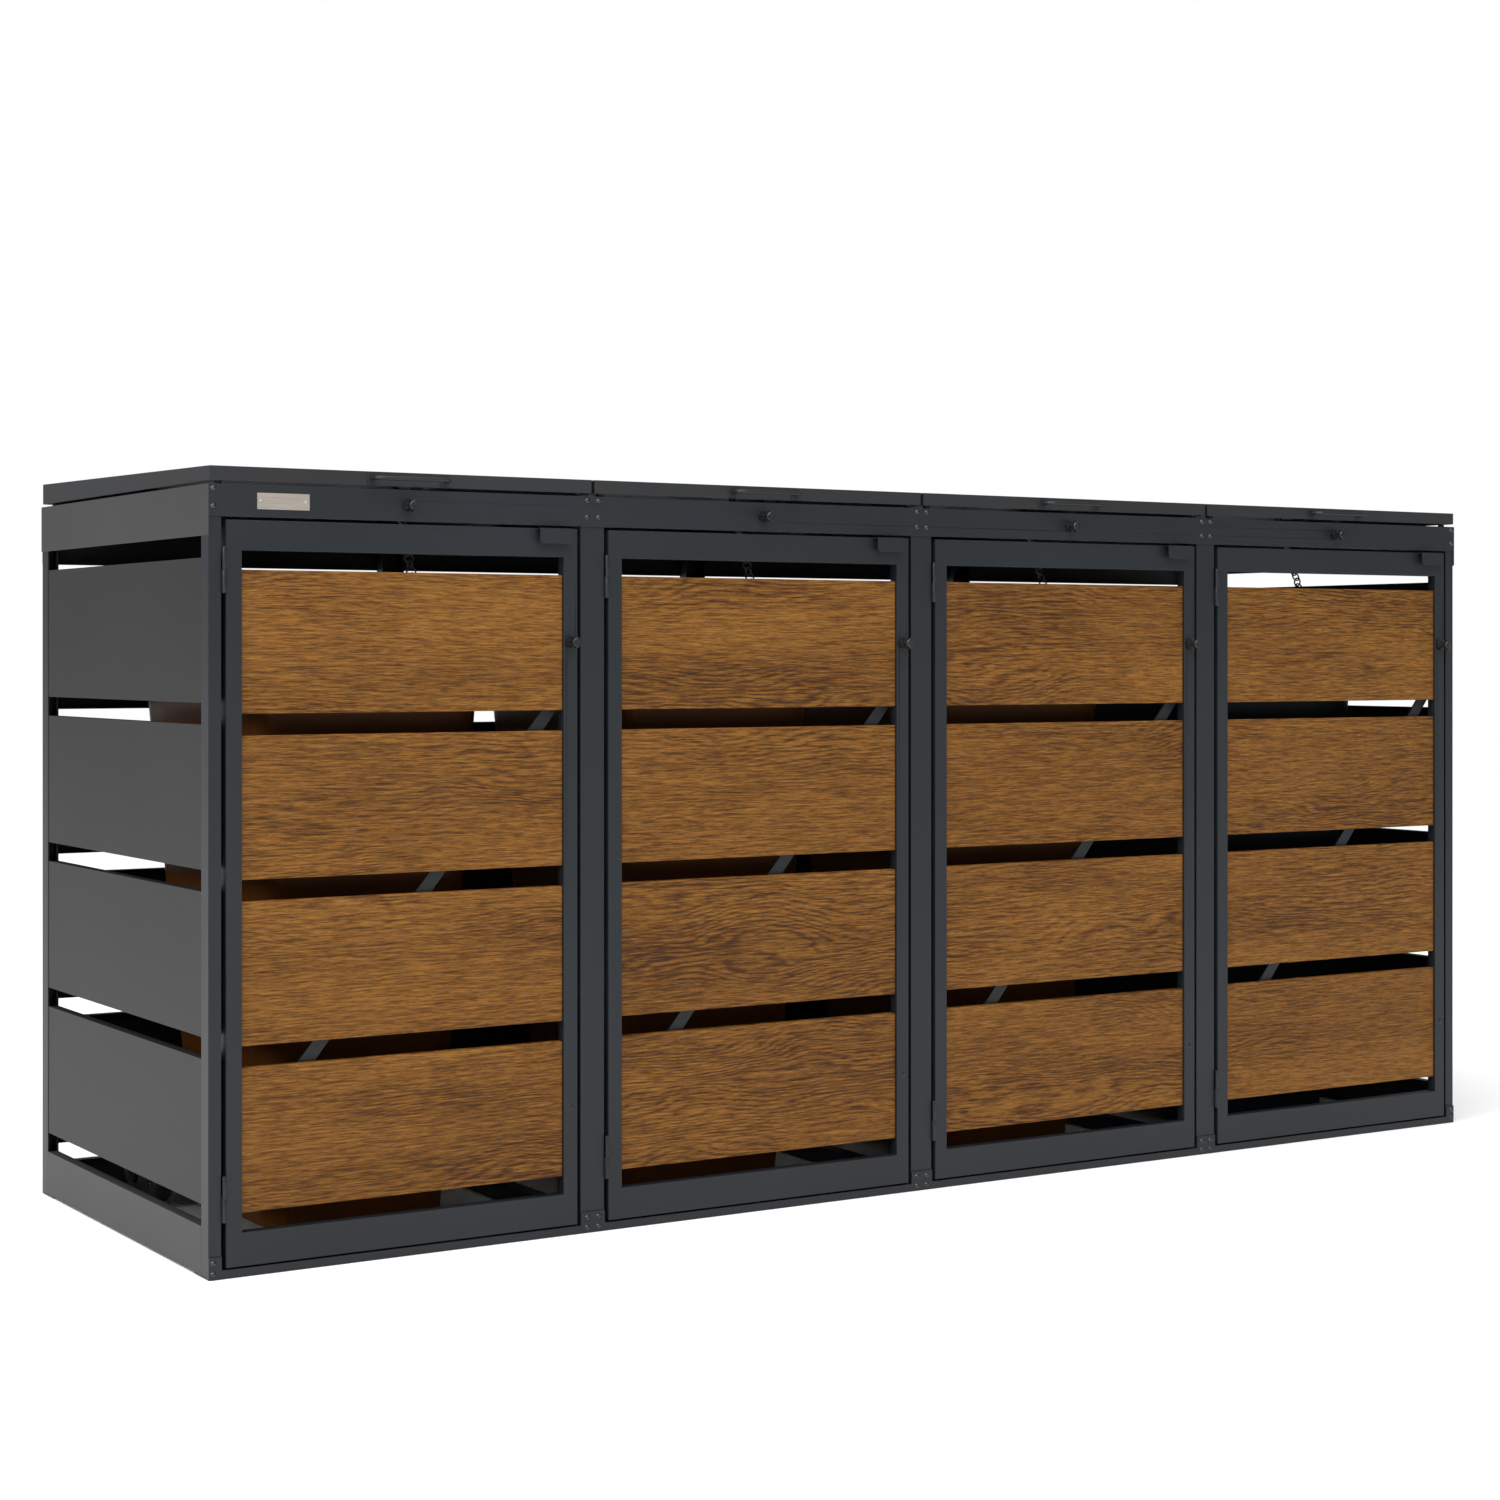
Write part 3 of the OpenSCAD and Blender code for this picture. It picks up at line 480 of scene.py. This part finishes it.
def latchGrip(node, body, name):
    low, high, mid = middleOf(node)
    face = low.y
    x = mid.x
    z = low.z + (high.x - low.x) / 2
    knob = turned([(0.0002, grip["knob"] - 0.0016), (0.0010, grip["knob"] - 0.0004), (0.0020, grip["knob"]),
        (0.0052, grip["knob"]), (0.0072, grip["neck"] + 0.0008), (0.0160, grip["neck"])], (x, face, z),
        (0, 1, 0), 40)
    wing = block((x - grip["wing"] / 2, face + 0.0001, z - grip["wingHalf"]),
        (x + grip["wing"] / 2, face + grip["wingDeep"], z + grip["wingHalf"]))
    item = piece(name, [knob, wing], "latchBlack", body, 0.0004)


# ---- moulded detail of the bins: gussets under the rim on the front, ribs across the lid
ribs = {"gussets": 7, "gussetWide": 0.004, "gussetHigh": 0.045, "rimDeep": 0.028, "front": 0.018,
    "rimBelow": 0.030,
    "lidRise": 0.026, "lidRibs": 3, "lidRibApart": 0.095, "lidRibWide": 0.010, "lidRibHigh": 0.0022,
    "lidRibFront": 0.070, "lidRibBack": 0.110}


def binDetail(bay, plastic):
    low, high, mid = middleOf(f"bin_{bay}")
    under = high.z - ribs["rimBelow"] - ribs["rimDeep"]
    half = (high.x - low.x) / 2 - ribs["front"]
    parts = []
    for k in range(ribs["gussets"]):
        x = mid.x + (k / (ribs["gussets"] - 1) - 0.5) * 2 * (half - 0.060)
        parts.append(gusset(x, ribs["gussetWide"], low.y + ribs["front"] + 0.004, low.y + 0.003,
            under - ribs["gussetHigh"], under + 0.001))
    item = piece(f"binGussets_{bay}", parts, plastic, "store", 0.0004)
    low, high, mid = middleOf(f"bin_lid_{bay}")
    binLow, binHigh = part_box(f"bin_{bay}")
    top = binHigh.z - ribs["rimBelow"] + ribs["lidRise"]
    parts = []
    for k in range(ribs["lidRibs"]):
        x = mid.x + (k - (ribs["lidRibs"] - 1) / 2) * ribs["lidRibApart"]
        parts.append(block((x - ribs["lidRibWide"] / 2, low.y + ribs["lidRibFront"], top - 0.001),
            (x + ribs["lidRibWide"] / 2, binHigh.y - ribs["lidRibBack"], top + ribs["lidRibHigh"])))
    item = piece(f"binLidRibs_{bay}", parts, plastic, f"bin_cover_{bay}", 0.0008)


for bay in range(1, bayCount + 1):
    wheelSet(bay)
    bowHandle(bay)
    latchGrip(f"door_latch_{bay}", f"door_key_{bay}", f"doorGrip_{bay}")
    latchGrip(f"lid_latch_{bay}", f"lid_key_{bay}", f"lidGrip_{bay}")
    brown = bay < bayCount
    binDetail(bay, "binBrown" if brown else "binGrey")
print("pieces built")


# ---- floor, light and camera
def studioFloor():
    mat, tree = newFinish("floorWhite")
    shader = surface(tree, Roughness=0.75, Specular_IOR_Level=0.1)
    cloud = noiseAt(tree, place(tree, (1, 1, 1)), 0.6, 2.0)
    pale = rampOf(tree, cloud, [(0.3, (0.88, 0.88, 0.88)), (0.7, (0.92, 0.92, 0.92))])
    join(tree, pale, shader.inputs["Base Color"])
    mesh = bpy.data.meshes.new("studioFloor")
    reach = 30.0
    corners = [(-reach, -reach, 0), (reach, -reach, 0), (reach, reach, 0), (-reach, reach, 0)]
    mesh.from_pydata(corners, [], [(0, 1, 2, 3)])
    floor = bpy.data.objects.new("studioFloor", mesh)
    bpy.context.scene.collection.objects.link(floor)
    mesh.materials.append(mat)
    floor.location.z = -0.0005


studio = {
    # name: place, target, size in metres, power in watts
    "leftSoftbox": ((-7.0, -1.6, 3.6), (-0.6, 0.0, 0.6), 3.5, 300.0),
    "frontSoftbox": ((-0.8, -5.2, 5.4), (0.2, 0.0, 0.6), 4.5, 230.0),
}
# wide soft light from above, its spread and lean in degrees
overhead = {"strength": 3.05, "spread": 70.0, "lean": (8.0, -14.0)}
skyStrength = 0.24  # what the white surroundings give as light


def studioLights():
    for name, (spot, target, size, power) in studio.items():
        data = bpy.data.lights.new(name, "AREA")
        data.size = size
        data.energy = power
        lamp = bpy.data.objects.new(name, data)
        lamp.location = spot
        lamp.rotation_euler = (Vector(target) - Vector(spot)).to_track_quat("-Z", "Y").to_euler()
        bpy.context.scene.collection.objects.link(lamp)
    data = bpy.data.lights.new("overheadSoft", "SUN")
    data.energy = overhead["strength"]
    data.angle = math.radians(overhead["spread"])
    lamp = bpy.data.objects.new("overheadSoft", data)
    lamp.rotation_euler = [math.radians(v) for v in (*overhead["lean"], 0)]
    bpy.context.scene.collection.objects.link(lamp)
    world = bpy.data.worlds.new("studioWhite")
    world.use_nodes = True
    tree = world.node_tree
    tree.nodes.clear()
    path = addNode(tree, "ShaderNodeLightPath")
    seen = addNode(tree, "ShaderNodeBackground", Strength=1.0)
    light = addNode(tree, "ShaderNodeBackground", Strength=skyStrength)
    for node in (seen, light):
        node.inputs["Color"].default_value = (1, 1, 1, 1)
    mix = addNode(tree, "ShaderNodeMixShader")
    out = addNode(tree, "ShaderNodeOutputWorld")
    join(tree, path.outputs["Is Camera Ray"], mix.inputs[0])
    join(tree, light.outputs[0], mix.inputs[1])
    join(tree, seen.outputs[0], mix.inputs[2])
    join(tree, mix.outputs[0], out.inputs["Surface"])
    bpy.context.scene.world = world
    bpy.context.scene.view_settings.view_transform = "Standard"


eye = {"place": (-2.8195, -4.308, 0.94), "turn": 32.16, "lens": 65.67, "rise": -0.0627}


def studioCamera():
    data = bpy.data.cameras.new("viewCamera")
    data.sensor_width = 36.0
    data.lens = eye["lens"]
    data.shift_y = eye["rise"]
    camera = bpy.data.objects.new("viewCamera", data)
    camera.location = eye["place"]
    camera.rotation_euler = (math.radians(90), 0, math.radians(-eye["turn"]))
    bpy.context.scene.collection.objects.link(camera)
    bpy.context.scene.camera = camera


studioFloor()
studioLights()
studioCamera()
print("studio ready")
